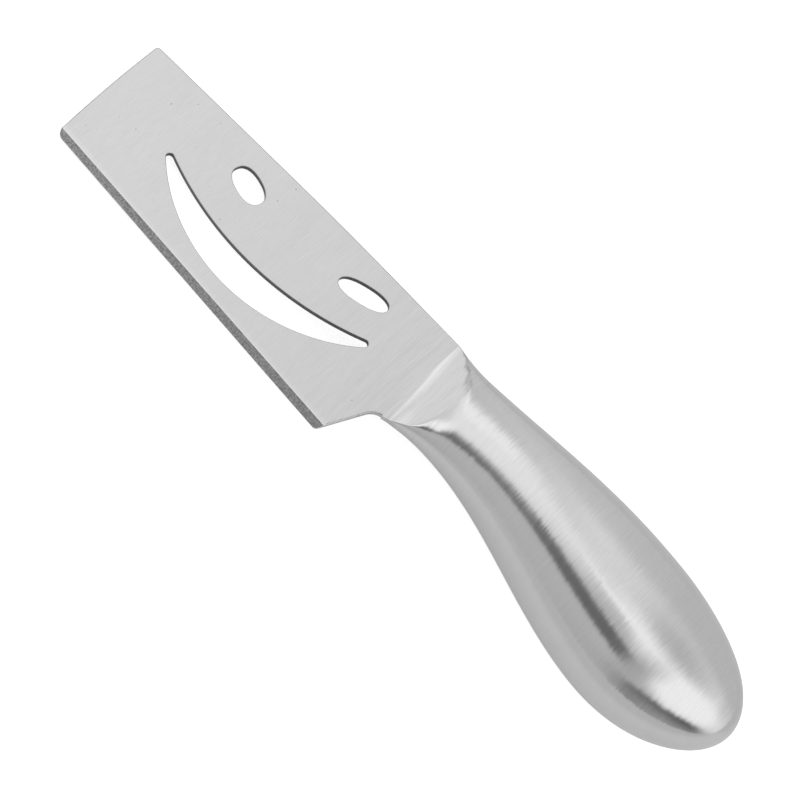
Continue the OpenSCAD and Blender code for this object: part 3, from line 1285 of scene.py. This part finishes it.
        # Rows of corners run from the upper rim over the wall to the lower rim.
        bends = [(Face.UPPER, bend) for bend in self.rim_bends]
        bends += [(Face.LOWER, bend) for bend in reversed(self.rim_bends)]
        rows: list[list[bmesh.types.BMVert]] = []
        for face, bend in bends:
            level, aside = math.cos(math.radians(bend)), math.sin(math.radians(bend))
            z = face.value * (self.thickness / 2 - r * (1 - level))
            row = [made.verts.new((*place, z)) for place in loop - out * r * (1 - aside)]
            for corner, away in zip(row, out):
                corner[facing] = Vector((*(away * aside), face.value * level)).normalized()
            rows.append(row)
        pairs = [(i, (i + 1) % len(loop)) for i in range(len(loop))]
        for upper, lower in zip(rows[:-1], rows[1:]):
            for i, n in pairs:
                made.faces.new([upper[i], lower[i], lower[n], upper[n]])
        for face, row in ((Face.UPPER, rows[0]), (Face.LOWER, rows[-1])):
            rims[face] += [made.edges.get((row[i], row[n])) for i, n in pairs]
        return [corner for row in rows for corner in row]

    @staticmethod
    def _cover(made: bmesh.types.BMesh, face: Face, edges: list[bmesh.types.BMEdge]) -> None:
        """Fill one of the blade's faces between its rims.

        Args:
            made: The blade's mesh.
            face: The face that is filled.
            edges: The rims of the outline and of the holes.
        """
        up = (0.0, 0.0, float(face.value))
        filled = bmesh.ops.triangle_fill(made, use_beauty=True, edges=edges, normal=up)
        for item in filled["geom"]:
            if isinstance(item, bmesh.types.BMFace) and item.normal.z * face.value < 0:
                item.normal_flip()

    def _soften_root(self, made: bmesh.types.BMesh) -> None:
        """Lean the normals towards the tip near the shoulder, most at the spine, where the hollow begins.

        Args:
            made: The blade's mesh.
        """
        facing = made.verts.layers.float_vector["facing"]
        for share in self.root_shares:
            sliced(made, Vector((self.root_run * share, 0.0, 0.0)), Vector((1.0, 0.0, 0.0)))
        for corner in made.verts:
            x, y, z = corner.co
            if x < self.root_run and abs(z) > self.thickness / 2 - TINY:
                side = float(ramp(y, self.neck_side_y, self.spine_y))
                lean = math.radians(self.root_lean) * side * (1 - x / self.root_run)
                corner[facing] = (math.sin(lean), 0.0, math.copysign(math.cos(lean), z))

    def _grind(self, made: bmesh.types.BMesh, face: Face, lean: float, inset: float) -> None:
        """Cut one flat facet along the cutting edge.

        Args:
            made: The blade's mesh.
            face: The face that is ground.
            lean: The facet's lean in degrees.
            inset: How far from the edge the facet starts, at the heel.
        """
        facing = made.verts.layers.float_vector["facing"]
        drop = self.width - self.tip_w - self.bevel_taper
        edge = Vector((self.length - self.tip_lean - self.heel_l, -drop, 0.0)).normalized()
        outward = Vector((-edge.y, edge.x, 0.0))
        upward = Vector((0.0, 0.0, face.value))
        heel = Vector((self.heel_l, self.edge_y, 0.0)) + upward * self.thickness / 2
        away = outward * math.sin(math.radians(lean)) + upward * math.cos(math.radians(lean))
        # No wanted normal along the cut, so that the facet's line stays crisp.
        for item in sliced(made, heel - outward * inset, away, clear=True):
            if isinstance(item, bmesh.types.BMVert):
                item[facing] = (0.0, 0.0, 0.0)
        capped(made)


@dataclass(frozen=True)
class StudioCard:
    """A soft light or dark card, placed by its angles in degrees from the direction to the camera."""

    right: float
    up: float
    half_w: float
    half_h: float
    level: float
    turn: float
    soft: float
    square: float

    def mask(self, right: Expr, up: Expr) -> Expr:
        """How much of the card is seen in a direction.

        Args:
            right: Angle to the right of the direction to the camera.
            up: Angle above it.

        Returns:
            A share from 0 to 1.
        """
        c, s = math.cos(math.radians(self.turn)), math.sin(math.radians(self.turn))
        a, b = right - self.right, up - self.up
        u = size_of(a * c + b * s) / self.half_w
        v = size_of(b * c - a * s) / self.half_h
        far = raised(raised(u, self.square) + raised(v, self.square), 1 / self.square)
        return ease((1 + self.soft - far) / (2 * self.soft))


@dataclass(frozen=True)
class CardSet:
    """The cards round the knife, in the order in which they cover one another."""

    dim_room: StudioCard = StudioCard(-13, -23, 78, 136, 0.63, turn=-31, soft=0.13, square=1.7)
    side_softbox: StudioCard = StudioCard(47, 15, 35, 71, 1.24, turn=-15, soft=0.3, square=5.0)
    top_softbox: StudioCard = StudioCard(-2, 60, 20.5, 27, 1.1, turn=-2, soft=0.5, square=5.0)
    side_shade: StudioCard = StudioCard(45, 22, 23, 10.5, 0.58, turn=-50, soft=1.0, square=1.6)
    dark_flag: StudioCard = StudioCard(-15, 12, 10.5, 22.5, 0.18, turn=23, soft=0.47, square=5.0)
    low_flag: StudioCard = StudioCard(-5, -58, 37.5, 21.5, 0.06, turn=-26, soft=0.33, square=5.0)
    dim_strip: StudioCard = StudioCard(-7, -10, 6.5, 33.5, 0.55, turn=-60, soft=1.0, square=3.2)
    far_wall: StudioCard = StudioCard(119, -10, 39.5, 139, 0.66, turn=34, soft=0.5, square=4.2)
    table_end: StudioCard = StudioCard(3, -88, 25.5, 68, 0.46, turn=50, soft=1.0, square=3.5)
    strip_light: StudioCard = StudioCard(18, 26, 4, 17.5, 1.2, turn=34, soft=0.3, square=1.7)
    left_softbox: StudioCard = StudioCard(-38, 47, 22, 12, 1.3, turn=-10, soft=0.5, square=2.3)
    top_spot: StudioCard = StudioCard(6, 65, 9.5, 6, 1.25, turn=-45, soft=0.65, square=2.2)

    def level(self, fill: float, right: Expr, up: Expr) -> Expr:
        """The light's level in a direction.

        Args:
            fill: Level of the even light that the cards stand in.
            right: Angle to the right of the direction to the camera.
            up: Angle above it.

        Returns:
            A level, 1 for white.
        """
        level: Number = fill
        for item in fields(self):
            card = getattr(self, item.name)
            level = level + (card.level - level) * card.mask(right, up)
        return level


@dataclass
class Studio:
    """The pale stage: floor, light all round and the camera of the photograph, in the knife's own frame.

    The glow patch is the part of the floor, by its sideways places in metres, that glows brightest for
    mirrors: painted light seen only in reflections.
    """

    pose: RestPose
    lens: float = 163.1
    sensor: float = 36.0
    shift_x: float = -0.0006
    clip: tuple[float, float] = (0.01, 20.0)
    eye: tuple[float, float, float] = (-68.7, 254.02, 539.05)
    right: tuple[float, float, float] = (-0.7065, -0.6707, 0.2258)
    up: tuple[float, float, float] = (0.6984, -0.6091, 0.3758)
    back: tuple[float, float, float] = (-0.1145, 0.4232, 0.8988)
    fill: float = 0.97
    cards: CardSet = CardSet()
    floor_half: float = 3.0
    floor_tone: float = 0.66
    camera_glow: float = 0.77
    far_glow: float = 0.1
    near_glow: float = 0.2
    glow_patch_half: float = 0.03
    glow_patch_ends: float = 0.06

    def build(self) -> None:
        """Set the floor, the light and the camera."""
        self._world()
        self._floor()
        self._camera()
        bpy.context.scene.view_settings.view_transform = "Standard"

    def axes(self) -> list[Vector]:
        """The camera's own right, up and back, in the row frame."""
        return [self.pose.direction(axis) for axis in (self.right, self.up, self.back)]

    def _world(self) -> None:
        """Light from all round: an even fill with soft cards, and plain white for the camera."""
        world = bpy.data.worlds.new("studio")
        bpy.context.scene.world = world
        graph = emptied(world)
        ray = graph.vector("NORMALIZE", graph.expr("ShaderNodeTexCoord", out="Generated"))
        across, above, ahead = (
            graph.vector("DOT_PRODUCT", ray, tuple(axis), out="Value") for axis in self.axes()
        )
        # Angles to the right of and above the direction to the camera, in degrees.
        angle = graph.math("ARCCOSINE", smaller(larger(ahead, TINY - 1.0), 1.0 - TINY)) * (180 / math.pi)
        spread = angle / larger(root(across * across + above * above), TINY)
        level = self.cards.level(self.fill, across * spread, above * spread)
        seen = graph.expr("ShaderNodeLightPath", out="Is Camera Ray")
        strength = between(level, 1.0, seen)
        light = graph.expr("ShaderNodeBackground", {"Color": (1, 1, 1, 1), "Strength": strength})
        graph.node("ShaderNodeOutputWorld", {"Surface": light})

    def _floor(self) -> None:
        """A wide pale floor that glows a little for the camera and for mirrors, more for mirrors near the
        knife as painted light, and keeps the shadow.
        """
        half = self.floor_half
        corners = [(-half, -half, 0.0), (half, -half, 0.0), (half, half, 0.0), (-half, half, 0.0)]
        mesh = bpy.data.meshes.new("floor")
        mesh.from_pydata(corners, [], [(0, 1, 2, 3)])
        material = bpy.data.materials.new("floor")
        graph = emptied(material)
        seen, glossy, through = (
            graph.expr("ShaderNodeLightPath", out=ray)
            for ray in ("Is Camera Ray", "Is Glossy Ray", "Is Transmission Ray")
        )
        aside = graph.share(graph.expr("ShaderNodeTexCoord", out="Object"), "Y")
        # Painted light: mirrors see a brighter strip of floor along the knife than the far floor.
        near = ease((self.glow_patch_ends - aside) / (self.glow_patch_ends - self.glow_patch_half))
        near = near * ease(aside / self.glow_patch_half + 1.0)
        mirrored = larger(glossy, through) * between(self.far_glow, self.near_glow, near)
        glow = graph.expr("ShaderNodeEmission", {"Strength": seen * self.camera_glow + mirrored})
        matt = graph.expr("ShaderNodeBsdfDiffuse", {"Color": (*[self.floor_tone] * 3, 1.0)})
        both = graph.expr("ShaderNodeAddShader", {0: glow, 1: matt})
        graph.node("ShaderNodeOutputMaterial", {"Surface": both})
        mesh.materials.append(material)
        floor = placed("floor", mesh)

    def _camera(self) -> None:
        """The photograph's own place and lens."""
        data = bpy.data.cameras.new("camera")
        data.lens = self.lens
        data.sensor_width = self.sensor
        data.clip_start, data.clip_end = self.clip
        data.shift_x = self.shift_x
        camera = placed("camera", data)
        turned = Matrix(self.axes()).transposed().to_4x4()
        camera.matrix_world = Matrix.Translation(self.pose.point(self.eye)) @ turned
        bpy.context.scene.camera = camera


@dataclass
class CheeseKnife:
    """The whole knife: blade, neck and handle, lying on its tip and belly."""

    rule: HandleRule = HandleRule()
    blade: Blade = field(default_factory=Blade)
    finishes: tuple[SteelFinish, ...] = (
        SteelFinish(
            Slot.BLADE, streak=0.04, root_streak=0.08, fade=0.0017, grit=0.12, pits=0.4, bevel_shade_share=0.51
        ),
        SteelFinish(Slot.NECK, grit=0.15),
        SteelFinish(Slot.HANDLE, streak=0.03, grit=0.12, tilt=0.045, cross_tilt=0.13),
        SteelFinish(Slot.WELD, streak=0.03, grit=0.12, tilt=0.045, cross_tilt=0.13),
    )
    belly_steps: int = 61

    def pose(self) -> RestPose:
        """How the knife lies, worked out from its own lengths as the part's source does.

        Returns:
            Its tilt, and its moves along and up.
        """
        rule = self.rule
        half_t, reach = self.blade.thickness / 2, self.blade.reach()
        s = np.linspace(0, rule.bulb_at, self.belly_steps)
        tilt = float(np.max(np.arctan((rule.half_height(s) - half_t) / (reach + s))))
        c, d = math.cos(tilt), math.sin(tilt)
        front = reach * c + half_t * d
        end_l = rule.handle_l - rule.bulb_at
        rear = rule.bulb_at * c + math.hypot(end_l * c, rule.bulb_h / 2 * d)
        return RestPose(tilt, (rear - front) / 2, reach * d + half_t * c)

    def build(self, pose: RestPose) -> None:
        """Make and dress every piece.

        Args:
            pose: How the knife lies.
        """
        steel = {finish.slot: BrushedSteel(finish, pose).material() for finish in self.finishes}
        tree = SkinTree("handle_skin")
        self.blade.build(pose, steel[Slot.BLADE])
        Neck(self.rule).build(tree, pose, steel[Slot.NECK])
        Handle(self.rule).build(tree, pose, steel)


def main() -> None:
    """Build the knife and its stage, and note how the knife lies."""
    logging.basicConfig(level=logging.INFO, format="%(name)s: %(message)s")
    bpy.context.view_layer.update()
    knife = CheeseKnife()
    pose = knife.pose()
    LOG.info("tilt %.3f deg, shift %.3f mm, lift %.3f mm", math.degrees(pose.tilt), pose.shift, pose.lift)
    knife.build(pose)
    Studio(pose).build()


if __name__ == "__main__":
    main()
